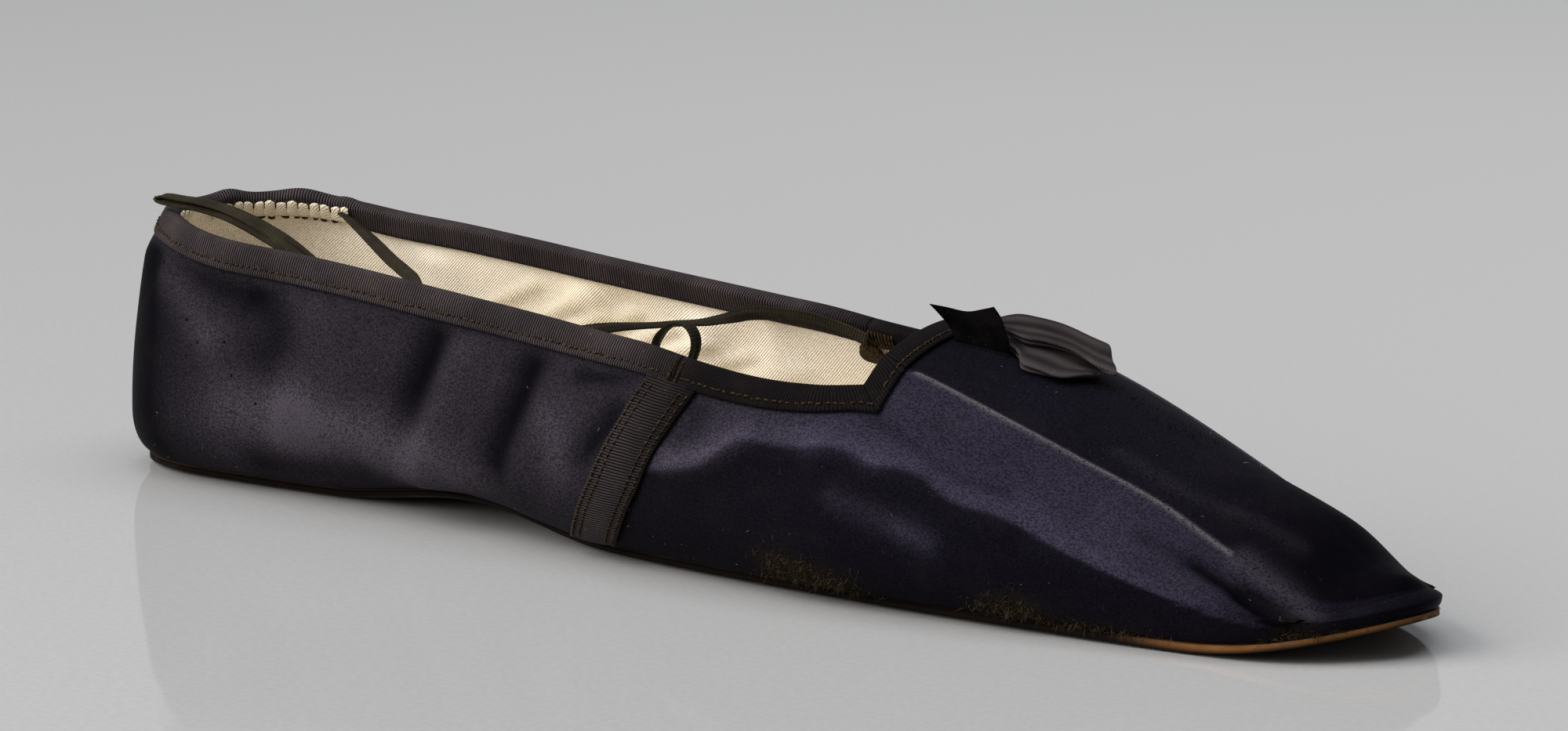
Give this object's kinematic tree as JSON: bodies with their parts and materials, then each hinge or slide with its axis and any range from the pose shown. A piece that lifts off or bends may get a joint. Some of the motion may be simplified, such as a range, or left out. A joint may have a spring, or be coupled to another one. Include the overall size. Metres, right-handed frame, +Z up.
{
  "type": "flat satin slipper",
  "caption": "Flat dark satin slipper with a thin leather sole, ribbon-bound low topline, square throat, flattened ribbon bow and narrow tie tapes lying in the open shoe.",
  "frame": {"origin": "middle of the shoe on the floor, under its outline", "axes": "+X from heel to toe, +Y to the wearer's left, +Z up"},
  "size_m": [0.244, 0.06, 0.0437],
  "materials": {
    "satin": "silk satin, dark blue-violet, soft sheen",
    "lining": "cream linen and kid lining, matt",
    "grosgrain": "ribbed silk ribbon, near black",
    "bow_silk": "silk ribbon, near black",
    "tape_silk": "narrow woven silk tape, olive black",
    "sole_leather": "thin brown sole leather, worn"
  },
  "bodies": {
    "root": {"outsole": "sole_leather", "insole": "lining", "upper": "satin", "quarter_binding": "grosgrain", "vamp_binding_right": "grosgrain", "vamp_binding_left": "grosgrain", "throat_binding": "grosgrain", "seam_tape_right": "grosgrain", "seam_tape_left": "grosgrain", "bow_front_loop": "bow_silk", "bow_back_loop": "bow_silk", "bow_tail": "bow_silk", "tie_tape_left": "tape_silk", "tie_tape_right": "tape_silk", "left_tie_anchor": "tape_silk"}
  },
  "joints": []
}
